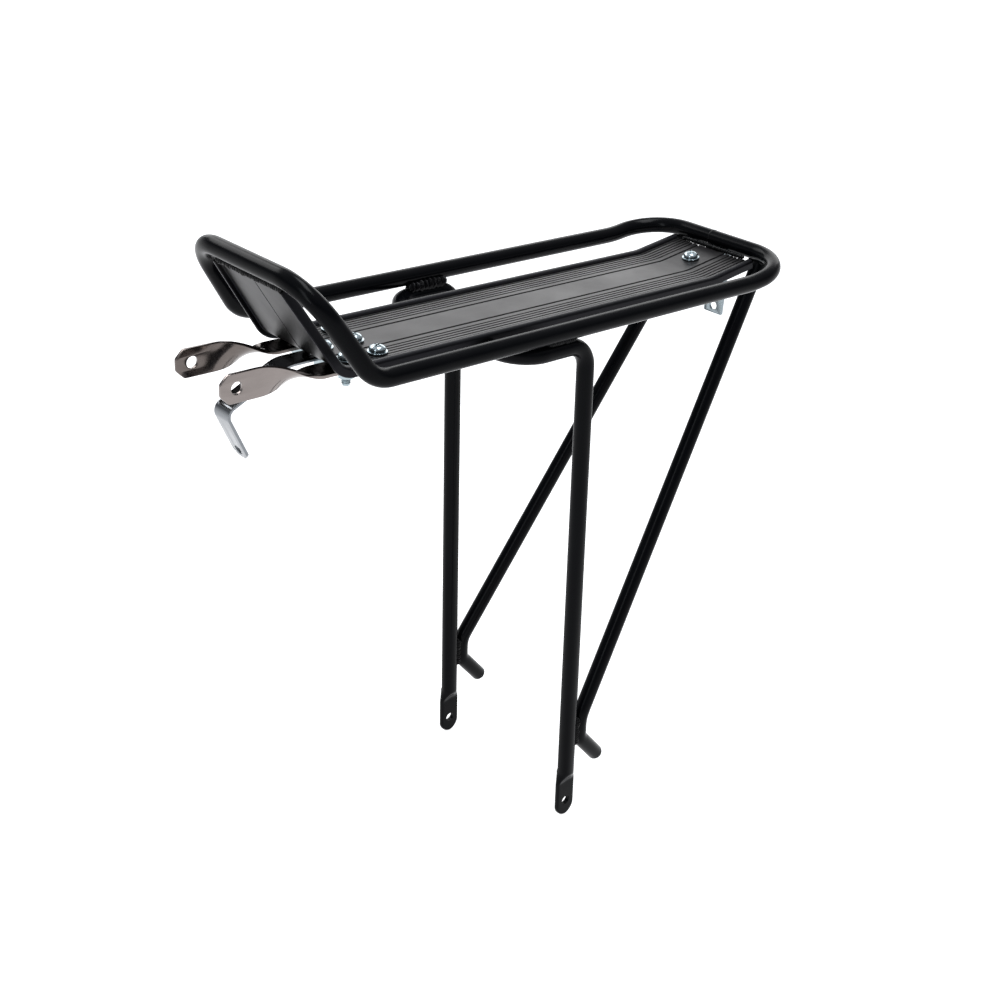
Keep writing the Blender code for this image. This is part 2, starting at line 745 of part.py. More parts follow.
def fasten(name, place, up, clamped, collection, material):
    """A bolt, its two washers and its nut, through material of this clamped thickness at a place."""
    turn = Vector(up).to_track_quat("Z", "X")
    head_side = GAP + WASHER_THICKNESS + GAP
    washer_low = clamped + GAP + WASHER_THICKNESS
    nut_low = washer_low + GAP + NUT_HEIGHT
    shank = head_side + nut_low + BOLT_END_PROJECTION
    pieces = [
        (bolt("bolt_" + name, shank, collection), head_side),
        (ring("top_washer_" + name, BOLT_RADIUS + GAP, WASHER_RADIUS, WASHER_THICKNESS, collection),
         GAP + WASHER_THICKNESS / 2),
        (ring("low_washer_" + name, BOLT_RADIUS + GAP, WASHER_RADIUS, WASHER_THICKNESS, collection),
         -washer_low + WASHER_THICKNESS / 2),
        (nut("nut_" + name, collection), -nut_low + NUT_HEIGHT / 2),
    ]
    for obj, height in pieces:
        obj.rotation_mode = "QUATERNION"
        obj.rotation_quaternion = turn
        obj.location = place + Vector(up) * height
        finish(obj, material)


clear_scene()
PARTS = new_collection(COLLECTION)
CUTTERS = new_collection("cutters")
paint = new_material("powder_coat", BLACK_PAINT)
anodised = new_material("anodised_deck", ANODISED)
bright = new_material("bright_plate", BRIGHT_PLATE)
zinc = new_material("zinc_plate", ZINC_PLATE)

build_frame_loop(PARTS, paint)
build_support(PARTS, paint)
build_stay("stay_left", -1, PARTS, paint)
build_stay("stay_right", 1, PARTS, paint)
build_deck(PARTS, CUTTERS, anodised)
build_twisted_strap("strap_left", -1, PARTS, bright)
build_twisted_strap("strap_right", 1, PARTS, bright)
build_bridge_strap(PARTS, bright)
build_bracket(PARTS, zinc)

LANES = (("left", STRAP_THICKNESS), ("centre", BRIDGE_THICKNESS), ("right", STRAP_THICKNESS))
STRAP_BOLTS = [(f"{lane}_{row}", thickness) for row in ("rear", "front") for lane, thickness in LANES]
for (bolt_name, strap_thickness), bolt_place in zip(STRAP_BOLTS, strap_bolt_places()):
    clamped_thickness = DECK_THICKNESS + GAP + strap_thickness
    fasten(bolt_name, bolt_place, (0, 0, 1), clamped_thickness, PARTS, zinc)
bracket_place, bracket_up = bracket_bolt_frame()
BRACKET_CLAMPED = DECK_THICKNESS + GAP + BRACKET_THICKNESS
fasten("reflector", bracket_place, bracket_up, BRACKET_CLAMPED, PARTS, zinc)
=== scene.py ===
"""Rear luggage carrier for a bicycle: the looks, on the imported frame. Metres, +Z up, -X is the bicycle's front."""

import math
import random

import bmesh
import bpy
from mathutils import Matrix, Vector, noise


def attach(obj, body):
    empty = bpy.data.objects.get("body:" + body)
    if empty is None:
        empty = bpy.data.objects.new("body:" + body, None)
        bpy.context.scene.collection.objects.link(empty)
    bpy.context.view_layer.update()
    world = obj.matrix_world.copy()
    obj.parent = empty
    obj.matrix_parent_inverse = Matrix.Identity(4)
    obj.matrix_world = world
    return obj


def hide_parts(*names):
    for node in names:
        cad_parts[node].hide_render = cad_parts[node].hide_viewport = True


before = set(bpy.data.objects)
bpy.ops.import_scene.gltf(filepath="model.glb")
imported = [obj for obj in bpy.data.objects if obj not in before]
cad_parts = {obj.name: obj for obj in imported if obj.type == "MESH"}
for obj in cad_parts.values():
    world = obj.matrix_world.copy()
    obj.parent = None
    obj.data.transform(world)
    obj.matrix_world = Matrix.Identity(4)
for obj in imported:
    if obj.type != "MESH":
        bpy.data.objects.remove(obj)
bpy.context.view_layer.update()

GAP = 0.0003
TUBE = 0.005
RAIL_Y = 0.058
RAIL_Z = 0.3266
KINK_X = 0.1203
REAR_RISE = math.radians(9.0)
REAR_ARM = 0.0371
LEAN = math.radians(56.5)
HOOP_FOOT_X = -0.1645
HOOP_ARM = 0.0580
HOOP_Y = 0.0490
LOOP_BENDS = [0.026, 0.018, 0.090, 0.030]
LOOP_SLIM = 0.99  # the round tube stays inside the box of the CAD's 12-sided one
SUPPORT_Z = RAIL_Z - 0.0109
LEG_TOP = (-0.0175, 0.0556)
LEG_FOOT_Y = 0.0576
LEG_BEND, CROSS_CORNER = 0.0145, 0.019
CROSS_X = -0.0675
FOOT_WIDTH, FOOT_THICK = 0.0144, 0.0030
FOOT_FLAT, FOOT_PRESS, FOOT_END = 0.0145, 0.0090, 0.0108
EYELET_RADIUS = 0.0032
STAY_TOP_Y = 0.0304
STAY_JOIN_Z, STAY_JOIN_RADIUS = 0.0605, 0.020
STAY_EDGE_BEHIND_BAR = 0.0008
STAY_SLIM = 0.98  # as for the loop
STAY_BEAD_Y = 0.0042
PEG_Z, PEG_BEND, PEG_LENGTH, PEG_FILLET = 0.0455, 0.0095, 0.0286, 0.0022
PEG_DROOP = math.radians(49)
DECK_Z = RAIL_Z - 0.0044
DECK_T = 0.0012
DECK_Y = 0.0335
DECK_BEND_X = 0.1145
DECK_RISE = math.radians(8.6)
TONGUE_X = -0.1635
DECK_END_GAP = 0.0024
DECK_BEND_RADIUS, TONGUE_BEND_RADIUS = 0.040, 0.0125
TONGUE_TAPER = 0.87
TONGUE_STEPS = 6
LIP_WIDTH, LIP_RISE = 0.0050, 0.0019
FLANGE_DROP, FLANGE_T = 0.0026, 0.0016
MAIN_GROOVE = (0.0109, 0.00085, 0.00075)
FINE_GROOVES = [(y, 0.00056, 0.00068) for y in (0.0154, 0.0182, 0.0210, 0.0238, 0.0266)]
GROOVE_FLOOR_SHARE = 0.45
LANE = 0.01975
STRAP_T, STRAP_WIDTH, STRAP_RISE = 0.0020, 0.0152, 0.0022
STRAP_TAIL_X, STRAP_EYELET_X, STRAP_END = -0.1180, -0.2170, 0.00899
TWIST_START_X, TWIST_END_X = -0.1700, -0.2060
BRIDGE_T, BRIDGE_WIDTH = 0.0016, 0.0130
BRIDGE_SLOPE_X, BRIDGE_CREASE_X = -0.1780, -0.2141
BRIDGE_SLOPE, BRIDGE_LEG_BACK = math.radians(26), math.radians(25.5)
BRIDGE_LEG, BRIDGE_HOLE_END, BRIDGE_HOLE_RADIUS = 0.0308, 0.0050, 0.0026
BRACKET_T, BRACKET_WIDTH = 0.0018, 0.0150
BRACKET_LEG_X, BRACKET_TAIL, BRACKET_DROP = 0.1595, 0.0085, 0.0430
BRACKET_BEND, BRACKET_HOLE_END, BRACKET_HOLE_RADIUS = 0.0030, 0.0048, 0.0027
BOLT_RADIUS, BOLT_HOLE_RADIUS, BOLT_END = 0.0024, 0.0028, 0.0043
HEAD_HEIGHT, THREAD_START, THREAD_PITCH = 0.0028, 0.0045, 0.0008
WASHER_RADIUS, WASHER_T = 0.0054, 0.0009
NUT_HEIGHT = 0.0040
SLOT_RADIUS, SLOT_FORWARD, SLOT_BACK = 0.0029, 0.006, 0.005
ROW_X = (-0.1330, -0.1525)
BRACKET_BOLT_X = 0.1300
ARC = math.radians(3.5)

REAR_BAR = Vector((KINK_X + REAR_ARM * math.cos(REAR_RISE), 0, RAIL_Z + REAR_ARM * math.sin(REAR_RISE)))
HOOP_BAR = Vector((HOOP_FOOT_X - HOOP_ARM * math.cos(LEAN), 0, RAIL_Z + HOOP_ARM * math.sin(LEAN)))


# ---------------------------------------------------------------- materials


def material(name, colour, rough, metallic=0.0, spread=0.08, bump=0.1, size=1500.0, stretch=(1, 1, 1),
             tint=0.25, shine=0.5, bump_depth=0.00006):
    """A surface whose roughness, colour and fine relief vary with noise of about 1/size metres."""
    made = bpy.data.materials.new(name)
    made.use_nodes = True
    nodes, links = made.node_tree.nodes, made.node_tree.links
    shader = nodes["Principled BSDF"]
    shader.inputs["Metallic"].default_value = metallic
    shader.inputs["Specular IOR Level"].default_value = shine
    place = nodes.new("ShaderNodeTexCoord")
    mapping = nodes.new("ShaderNodeMapping")
    mapping.inputs["Scale"].default_value = stretch
    links.new(place.outputs["Object"], mapping.inputs["Vector"])
    fine = nodes.new("ShaderNodeTexNoise")
    fine.inputs["Scale"].default_value = size
    fine.inputs["Detail"].default_value = 3
    links.new(mapping.outputs["Vector"], fine.inputs["Vector"])
    broad = nodes.new("ShaderNodeTexNoise")
    broad.inputs["Scale"].default_value = 45
    broad.inputs["Detail"].default_value = 4
    links.new(place.outputs["Object"], broad.inputs["Vector"])
    level = nodes.new("ShaderNodeMapRange")
    level.inputs["From Min"].default_value = 0.3
    level.inputs["From Max"].default_value = 0.7
    level.inputs["To Min"].default_value = max(0.03, rough - spread)
    level.inputs["To Max"].default_value = rough + spread
    links.new(broad.outputs["Fac"], level.inputs["Value"])
    links.new(level.outputs["Result"], shader.inputs["Roughness"])
    ramp = nodes.new("ShaderNodeValToRGB")
    ramp.color_ramp.elements[0].position = 0.25
    ramp.color_ramp.elements[1].position = 0.75
    ramp.color_ramp.elements[0].color = [c * (1 - tint) for c in colour] + [1]
    ramp.color_ramp.elements[1].color = [min(1, c * (1 + tint)) for c in colour] + [1]
    blend = nodes.new("ShaderNodeMix")
    blend.inputs["Factor"].default_value = 0.5
    links.new(fine.outputs["Fac"], blend.inputs["A"])
    links.new(broad.outputs["Fac"], blend.inputs["B"])
    links.new(blend.outputs["Result"], ramp.inputs["Fac"])
    links.new(ramp.outputs["Color"], shader.inputs["Base Color"])
    relief = nodes.new("ShaderNodeBump")
    relief.inputs["Strength"].default_value = bump
    relief.inputs["Distance"].default_value = bump_depth
    links.new(fine.outputs["Fac"], relief.inputs["Height"])
    links.new(relief.outputs["Normal"], shader.inputs["Normal"])
    return made


COAT = material("powder_coat", (0.0012, 0.0014, 0.0019), 0.22, spread=0.05, bump=0.25, size=900, shine=0.052,
                bump_depth=0.00002)
BEAD = material("coated_weld", (0.0018, 0.0019, 0.0022), 0.26, spread=0.08, bump=0.6, size=1400, shine=0.09,
                bump_depth=0.00008)
DECK = material("satin_anodised", (0.036, 0.0348, 0.0355), 0.42, 1.0, spread=0.04, bump=0.3, size=900,
                stretch=(0.035, 1, 1), tint=0.10, bump_depth=0.00002)
NICKEL = material("nickel_plate", (0.215, 0.19, 0.18), 0.15, 1.0, spread=0.05, bump=0.15, size=500,
                  stretch=(0.25, 1, 1), tint=0.08, bump_depth=0.00002)
# The same nickel plate with a darker colour: painted shade for the far strap, which lies behind the near one.
SHADED_NICKEL = material("nickel_plate_painted_shade", (0.125, 0.108, 0.10), 0.17, 1.0, spread=0.06, bump=0.15, size=500,
                       stretch=(0.25, 1, 1), tint=0.12, bump_depth=0.00002)
BRIDGE_PLATE = material("bridge_plate", (0.19, 0.20, 0.212), 0.18, 1.0, spread=0.06, bump=0.2, size=600, tint=0.06,
                        bump_depth=0.00002)
ZINC = material("zinc_plate", (0.36, 0.42, 0.445), 0.20, 1.0, spread=0.08, bump=0.35, size=1400, tint=0.12,
                bump_depth=0.00003)
BRACKET_ZINC = material("bracket_zinc_plate", (0.25, 0.29, 0.31), 0.20, 1.0, spread=0.08, bump=0.35, size=1400,
                        tint=0.12, bump_depth=0.00003)


def paint_lip_shade(look, inner, outer):
    """Painted shade: the base colour turns nearly black on the lips and flanges beyond this distance from Y = 0, so
    they read as shaded and reflect little.
    """
    nodes, links = look.node_tree.nodes, look.node_tree.links
    shader = nodes["Principled BSDF"]
    colour = shader.inputs["Base Color"].links[0].from_socket
    place = nodes.new("ShaderNodeTexCoord")
    split = nodes.new("ShaderNodeSeparateXYZ")
    links.new(place.outputs["Object"], split.inputs["Vector"])
    side = nodes.new("ShaderNodeMath")
    side.operation = "ABSOLUTE"
    links.new(split.outputs["Y"], side.inputs[0])
    share = nodes.new("ShaderNodeMapRange")
    share.inputs["From Min"].default_value = inner
    share.inputs["From Max"].default_value = outer
    links.new(side.outputs["Value"], share.inputs["Value"])
    blend = nodes.new("ShaderNodeMix")
    blend.data_type = "RGBA"
    links.new(share.outputs["Result"], blend.inputs["Factor"])
    links.new(colour, blend.inputs["A"])
    blend.inputs["B"].default_value = (0.012, 0.012, 0.014, 1)
    links.new(blend.outputs["Result"], shader.inputs["Base Color"])


# Painted shade on the deck's lips and flanges.
paint_lip_shade(DECK, 0.0276, 0.0290)


# ---------------------------------------------------------------- shapes


def rounded_path(corners, radii, closed=False, step=ARC):
    """Points along straight runs between the corners, each corner replaced by an arc of its radius."""
    corners = [Vector(corner) for corner in corners]
    count = len(corners)
    points = []
    for index, corner in enumerate(corners):
        if not closed and index in (0, count - 1):
            points.append(corner)
            continue
        to_last = (corners[index - 1] - corner).normalized()
        to_next = (corners[(index + 1) % count] - corner).normalized()
        between = to_last.angle(to_next)
        turn = math.pi - between
        radius = radii[index]
        start = corner + to_last * (radius / math.tan(between / 2))
        centre = corner + (to_last + to_next).normalized() * (radius / math.sin(between / 2))
        axis = to_next.cross(to_last).normalized()
        steps = max(1, round(turn / step))
        for part in range(steps + 1):
            points.append(centre + Matrix.Rotation(turn * part / steps, 3, axis) @ (start - centre))
    return points


def spaced(start, end, count):
    """Evenly spaced values from start to end, count steps apart, both ends included."""
    return [start + (end - start) * part / count for part in range(count + 1)]


def ease(share):
    """A smooth step from 0 to 1."""
    share = min(1.0, max(0.0, share))
    return share * share * (3 - 2 * share)


def add(name, shape, look, sharp=35):
    """A new object from a bmesh, smooth but for edges sharper than this many degrees."""
    bmesh.ops.recalc_face_normals(shape, faces=shape.faces)
    if shape.calc_volume(signed=True) < 0:
        bmesh.ops.reverse_faces(shape, faces=shape.faces)
    mesh = bpy.data.meshes.new(name)
    shape.to_mesh(mesh)
    shape.free()
    mesh.materials.append(look)
    mesh.shade_smooth()
    mesh.set_sharp_from_angle(angle=math.radians(sharp))
    made = bpy.data.objects.new(name, mesh)
    bpy.context.scene.collection.objects.link(made)
    return made


def baked(obj):
    """The object's evaluated mesh as a bmesh, with the object removed."""
    bpy.context.view_layer.update()
    mesh = bpy.data.meshes.new_from_object(obj.evaluated_get(bpy.context.evaluated_depsgraph_get()))
    shape = bmesh.new()
    shape.from_mesh(mesh)
    shape.transform(obj.matrix_world)
    bpy.data.meshes.remove(mesh)
    bpy.data.objects.remove(obj, do_unlink=True)
    bmesh.ops.remove_doubles(shape, verts=shape.verts, dist=1e-6)
    return shape


def swept_tube(points, closed=False, scales=None):
    """A bmesh of round tube along the points, each with its own share of the tube's radius."""
    data = bpy.data.curves.new("run", "CURVE")
    data.dimensions = "3D"
    spline = data.splines.new("POLY")
    spline.points.add(len(points) - 1)
    for index, (slot, point) in enumerate(zip(spline.points, points)):
        slot.co = (*point, 1.0)
        if scales:
            slot.radius = scales[index]
    spline.use_cyclic_u = closed
    data.bevel_depth = TUBE
    data.bevel_resolution = 14
    data.use_fill_caps = True
    obj = bpy.data.objects.new("run", data)
    bpy.context.scene.collection.objects.link(obj)
    return baked(obj)


def lathe(profile, steps=48):
    """A closed turned bmesh about Z from radii and heights, whose ends may lie on the axis."""
    shape = bmesh.new()
    rings = []
    for radius, height in profile:
        if radius < 1e-7:
            rings.append([shape.verts.new((0, 0, height))])
            continue
        angles = [2 * math.pi * part / steps for part in range(steps)]
        rings.append([shape.verts.new((radius * math.cos(a), radius * math.sin(a), height)) for a in angles])
    pairs = list(zip(rings, rings[1:]))
    if len(rings[0]) > 1:
        pairs.append((rings[-1], rings[0]))
    for upper, lower in pairs:
        for part in range(steps):
            after = (part + 1) % steps
            corners = [upper[part % len(upper)], upper[after % len(upper)],
                       lower[after % len(lower)], lower[part % len(lower)]]
            unique = list(dict.fromkeys(corners))
            if len(unique) > 2:
                shape.faces.new(unique)
    bmesh.ops.recalc_face_normals(shape, faces=shape.faces)
    return shape


def loose(shape, name="loose"):
    """A working object from a bmesh, not a piece of the model."""
    mesh = bpy.data.meshes.new(name)
    shape.to_mesh(mesh)
    shape.free()
    obj = bpy.data.objects.new(name, mesh)
    bpy.context.scene.collection.objects.link(obj)
    return obj


def boolean(shape, cutters, operation="DIFFERENCE"):
    """The shape cut by, or kept inside, each cutter in turn."""
    obj = loose(shape)
    tools = [loose(cutter, "cutter") for cutter in cutters]
    for tool in tools:
        step = obj.modifiers.new("cut", "BOOLEAN")
        step.operation = operation
        step.object = tool
        step.solver = "EXACT"
    result = baked(obj)
    for tool in tools:
        bpy.data.objects.remove(tool, do_unlink=True)
    return result


def rod(centre, axis, radius, length, steps=40):
    """A cylinder of this length centred on a point."""
    shape = lathe([(0, length / 2), (radius, length / 2), (radius, -length / 2), (0, -length / 2)], steps)
    turn = Vector(axis).to_track_quat("Z", "X").to_matrix().to_4x4()
    shape.transform(Matrix.Translation(centre) @ turn)
    return shape


def outline(width, start, end, corner):
    """A bar's outline from start to end along X, whose far end has clipped and slightly rounded corners."""
    half = width / 2
    way = 1 if end > start else -1
    cut = [(1.18, 0.0), (1.0, 0.03), (0.82, 0.16), (0.16, 0.82), (0.03, 1.0), (0.0, 1.18)]
    upper = [(end - way * corner * back, half - corner * down) for back, down in cut]
    lower = [(x, -y) for x, y in reversed(upper)]
    return [(start, -half), (start, half), *upper, *lower]


def slot_hole(low, high, radius, steps=32):
    """The outline of a slot along X between two centres, or of a round hole where they are the same."""
    points = []
    for part in range(steps):
        angle = 2 * math.pi * (part + 0.5) / steps
        points.append(((high if math.cos(angle) > 0 else low) + radius * math.cos(angle), radius * math.sin(angle)))
    return points


def flat_bar(loops, thickness, edge=0.0003):
    """A flat plate with rounded-over edges, from its outline and its holes."""
    data = bpy.data.curves.new("bar", "CURVE")
    data.dimensions = "2D"
    data.fill_mode = "BOTH"
    data.extrude = thickness / 2 - edge
    data.bevel_depth = edge
    data.bevel_resolution = 2
    data.offset = -edge
    for loop in loops:
        spline = data.splines.new("POLY")
        spline.points.add(len(loop) - 1)
        for slot, (x, y) in zip(spline.points, loop):
            slot.co = (x, y, 0.0, 1.0)
        spline.use_cyclic_u = True
    obj = bpy.data.objects.new("bar", data)
    bpy.context.scene.collection.objects.link(obj)
    return baked(obj)


def form(shape, stations, place):
    """The flat shape cut at each station along X and moved, point by point, to where it belongs."""
    for station in stations:
        everything = shape.verts[:] + shape.edges[:] + shape.faces[:]
        bmesh.ops.bisect_plane(shape, geom=everything, dist=1e-7, plane_co=(station, 0, 0), plane_no=(1, 0, 0))
    bmesh.ops.remove_doubles(shape, verts=shape.verts, dist=1e-7)
    bmesh.ops.triangulate(shape, faces=shape.faces[:])
    for vertex in shape.verts:
        vertex.co = place(*vertex.co)
    return shape


def along(points):
    """A function that lays a flat bar along a path in X and Z, and the length at each of its points."""
    lengths = [0.0]
    for last, point in zip(points, points[1:]):
        lengths.append(lengths[-1] + (point - last).length)

    def normal(index):
        way = (points[min(len(points) - 1, index + 1)] - points[max(0, index - 1)]).normalized()
        return Vector((-way.z, 0, way.x))

    def place(x, y, z):
        index = 0
        while index < len(points) - 2 and x > lengths[index + 1]:
            index += 1
        share = (x - lengths[index]) / (lengths[index + 1] - lengths[index])
        up = normal(index).lerp(normal(index + 1), share).normalized()
        return points[index].lerp(points[index + 1], share) + up * z + Vector((0, y, 0))

    return place, lengths


def weld(name, points, radius, seed, pitch=0.0017, ripple=0.34, slant=0.0003, taper=0.0025, sides=14):
    """A rippled weld bead along a line: overlapping ridges, uneven in width, tapering at both ends."""
    points = [Vector(point) for point in points]
    chance = random.Random(seed)
    total = sum((b - a).length for a, b in zip(points, points[1:]))
    count = max(12, int(total / 0.00022))
    shape = bmesh.new()
    rings = []
    phase = chance.random() * 10
    for part in range(count + 1):
        run = total * part / count
        left = run
        index = 0
        while index < len(points) - 2 and left > (points[index + 1] - points[index]).length:
            left -= (points[index + 1] - points[index]).length
            index += 1
        way = (points[index + 1] - points[index]).normalized()
        centre = points[index] + way * left
        side = way.orthogonal().normalized()
        other = way.cross(side)
        end = min(run, total - run) / taper
        close = math.sqrt(max(0.0, 1 - (1 - min(1, end)) ** 2))
        ridge = abs(math.sin(math.pi * (run / pitch + phase)))
        swell = 1.04 - ripple + ripple * ridge**0.6 + 0.20 * noise.noise(Vector((run * 420, phase, seed)))
        ring = []
        for turn in range(sides):
            angle = 2 * math.pi * turn / sides
            skew = 0.22 * noise.noise(Vector((run * 900, math.cos(angle) * 1.3 + phase, math.sin(angle) * 1.3)))
            reach = radius * max(0.02, close * (swell + skew))
            lagged = centre + way * (slant * math.sin(angle) * close)
            ring.append(shape.verts.new(lagged + (side * math.cos(angle) + other * math.sin(angle)) * reach))
        rings.append(ring)
    for first, second in zip(rings, rings[1:]):
        for turn in range(sides):
            after = (turn + 1) % sides
            shape.faces.new((first[turn], first[after], second[after], second[turn]))
    shape.faces.new(rings[0][::-1])
    shape.faces.new(rings[-1])
    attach(add(name, shape, BEAD, sharp=80), "carrier")


# ---------------------------------------------------------------- welded frame


def stand_in(made, node, body="carrier"):
    """Has the piece ride on its body in place of the CAD's own node."""
    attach(made, body)
    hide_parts(node)


def loop_points():
    right = [(HOOP_BAR.x, HOOP_Y, HOOP_BAR.z), (HOOP_FOOT_X, RAIL_Y, RAIL_Z), (KINK_X, RAIL_Y, RAIL_Z),
             (REAR_BAR.x, RAIL_Y, REAR_BAR.z)]
    left = [(x, -y, z) for x, y, z in reversed(right)]
    return rounded_path(right + left, LOOP_BENDS + LOOP_BENDS[::-1], closed=True)


LOOP = loop_points()
LOOP_TUBE = swept_tube(LOOP, closed=True, scales=[LOOP_SLIM] * len(LOOP))
stand_in(add("frame_loop_tube", LOOP_TUBE, COAT), "frame_loop")


def leg(side):
    """The ends of one leg's axis, top and foot."""
    top = Vector((LEG_TOP[0], side * LEG_TOP[1], SUPPORT_Z))
    return top, Vector((0.0, side * LEG_FOOT_Y, 0.0))


def foot_points(side):
    top, foot = leg(side)
    axis = (foot - top).normalized()
    low = FOOT_WIDTH / 2 - FOOT_END
    heights = spaced(FOOT_FLAT + FOOT_PRESS, FOOT_FLAT, 16) + spaced(FOOT_FLAT - 0.002, low, 5)
    heights += [low - FOOT_WIDTH / 2 * math.sin(angle) for angle in spaced(0.12, math.pi / 2, 12)]
    return [foot - axis * height for height in heights]


def press(shape, side):
    """Flattens one leg's end across Y, with an eyelet's width and a rounded end."""
    top, foot = leg(side)
    axis = (foot - top).normalized()
    across = (Vector((0, 1, 0)) - axis * axis.y).normalized()
    lengthwise = across.cross(axis)
    for vertex in shape.verts:
        offset = vertex.co - foot
        height = -offset.dot(axis)
        if vertex.co.y * side < 0 or height > FOOT_FLAT + FOOT_PRESS:
            continue
        share = ease(1 - (height - FOOT_FLAT) / FOOT_PRESS)
        wide = 1 + share * (FOOT_WIDTH / 2 / TUBE - 1)
        half = TUBE + share * (FOOT_THICK / 2 - TUBE)
        below = height + FOOT_END - FOOT_WIDTH / 2
        if below < 0:
            wide *= math.sqrt(max(0.02, 1 - (below / (FOOT_WIDTH / 2)) ** 2))
        raw = offset.dot(across)
        reach = half * math.tanh(raw / half * 1.25) / math.tanh(TUBE / half * 1.25) if share > 0 else raw
        dent = 0.0006 * math.exp(-((height - FOOT_FLAT - 0.004) / 0.0028) ** 2)
        reach -= math.copysign(dent, raw) * max(0.0, 1 - abs(offset.dot(lengthwise)) / 0.0045)
        vertex.co = foot - axis * height + lengthwise * offset.dot(lengthwise) * wide + across * reach


def support():
    cross = [(CROSS_X, side * LEG_TOP[1], SUPPORT_Z) for side in (-1, 1)]
    corners = [leg(-1)[1], leg(-1)[0], *cross, leg(1)[0], leg(1)[1]]
    middle = rounded_path(corners, [0, LEG_BEND, CROSS_CORNER, CROSS_CORNER, LEG_BEND, 0])[1:-1]
    shape = swept_tube(foot_points(-1)[::-1] + middle + foot_points(1))
    for side in (-1, 1):
        press(shape, side)
    holes = [rod((0, side * LEG_FOOT_Y, 0), (0, 1, 0), EYELET_RADIUS, 0.012) for side in (-1, 1)]
    return boolean(shape, holes)


stand_in(add("support_frame_tube", support(), COAT, sharp=40), "support_frame")


def leg_point(side, height):
    """The point on a leg's axis at this height."""
    top, foot = leg(side)
    return foot.lerp(top, height / top.z)


def stay_corners(side):
    """The corners of one stay: its end under the rear bar, where it meets the leg, the peg's bend and tip."""
    top, foot = leg(side)
    behind = Vector((0, 1, 0)).cross((foot - top).normalized()).normalized()
    if behind.x < 0:
        behind.negate()
    beside = 2 * TUBE + GAP
    join = leg_point(side, STAY_JOIN_Z) + behind * beside
    bend = leg_point(side, PEG_Z) + behind * beside
    peg = Vector((math.cos(PEG_DROOP), 0, -math.sin(PEG_DROOP)))
    target = Vector((REAR_BAR.x, side * STAY_TOP_Y, REAR_BAR.z))
    rearward = Vector((0, 1, 0)).cross((target - join).normalized()).normalized()
    aim = target + rearward * (TUBE + STAY_EDGE_BEHIND_BAR)
    up = (aim - join).normalized()
    shy = math.sqrt((TUBE + GAP) ** 2 - STAY_EDGE_BEHIND_BAR**2)
    return [aim - up * (shy + GAP), join, bend, bend + peg * PEG_LENGTH]


def stay(side):
    corners = stay_corners(side)
    points = rounded_path(corners, [0, STAY_JOIN_RADIUS, PEG_BEND, 0])
    tip = points.pop()
    way = (tip - points[-1]).normalized()
    scales = [STAY_SLIM] * len(points)
    for angle in spaced(0, math.pi / 2, 7):
        points.append(tip - way * PEG_FILLET * (1 - math.sin(angle)))
        scales.append(STAY_SLIM - PEG_FILLET / TUBE * (1 - math.cos(angle)))
    return swept_tube(points, scales=scales)


for name, side in (("stay_left", -1), ("stay_right", 1)):
    stand_in(add(name + "_tube", stay(side), COAT, sharp=50), name)


# ---------------------------------------------------------------- deck


def deck_path():
    end_x = REAR_BAR.x - TUBE - DECK_END_GAP
    rear = (end_x, 0, DECK_Z + (end_x - DECK_BEND_X) * math.tan(DECK_RISE))
    run = Vector((-math.cos(LEAN), 0, math.sin(LEAN)))
    start = Vector((TONGUE_X, 0, DECK_Z))
    tongue = start + run * ((HOOP_BAR - start).dot(run) - TUBE - 2 * GAP)
    corners = [rear, (DECK_BEND_X, 0, DECK_Z), start, tongue]
    points = rounded_path(corners, [0, DECK_BEND_RADIUS, TONGUE_BEND_RADIUS, 0], step=math.radians(2.5))
    steps = range(1, TONGUE_STEPS + 1)
    return points[:-1] + [points[-2].lerp(points[-1], part / TONGUE_STEPS) for part in steps]


def deck_section():
    """Half of the deck's section, from the middle of its top to the middle of its underside."""
    points = []
    for centre, half, depth in (MAIN_GROOVE, *FINE_GROOVES):
        floor_half = half * GROOVE_FLOOR_SHARE
        points += [(centre - half, 0), (centre - floor_half, -depth), (centre + floor_half, -depth), (centre + half, 0)]
    lip = DECK_Y - LIP_WIDTH
    bead = (DECK_Y - lip) / 2
    points += [(lip + bead * (1 - math.cos(angle)), LIP_RISE * math.sin(angle)) for angle in spaced(0, math.pi, 14)]
    low = -DECK_T - FLANGE_DROP
    inside = DECK_Y - FLANGE_T
    points += [(DECK_Y, low + 0.0004), (DECK_Y - 0.0004, low), (inside + 0.0004, low), (inside, low + 0.0004),
               (inside, -DECK_T - 0.0004), (inside - 0.0005, -DECK_T), (0.0005, -DECK_T)]
    return points


def deck():
    half = deck_section()
    section = half + [(0, -DECK_T + 0.0005)] + [(-y, z) for y, z in reversed(half)]
    path = deck_path()
    bend_end = path[-TONGUE_STEPS - 1]
    tongue = (path[-1] - bend_end).length
    shape = bmesh.new()
    rings = []
    for index, point in enumerate(path):
        before, after = path[max(0, index - 1)], path[min(len(path) - 1, index + 1)]
        way = (before - after).normalized()
        up = Vector((-way.z, 0, way.x))
        share = (point - bend_end).length / tongue if index > len(path) - TONGUE_STEPS - 1 else 0.0
        narrow = 1 - (1 - TONGUE_TAPER) * share
        rings.append([shape.verts.new(point + up * z + Vector((0, y * narrow, 0))) for y, z in section])
    count = len(section)
    for first, second in zip(rings, rings[1:]):
        for part in range(count):
            after = (part + 1) % count
            shape.faces.new((first[part], first[after], second[after], second[part]))
    shape.faces.new(rings[0])
    shape.faces.new(rings[-1][::-1])
    return shape


stand_in(add("deck_extrusion", deck(), DECK, sharp=28), "deck_plate")


# ---------------------------------------------------------------- straps and bracket

SLOT = slot_hole(ROW_X[1] - SLOT_BACK, ROW_X[0] + SLOT_FORWARD, SLOT_RADIUS)


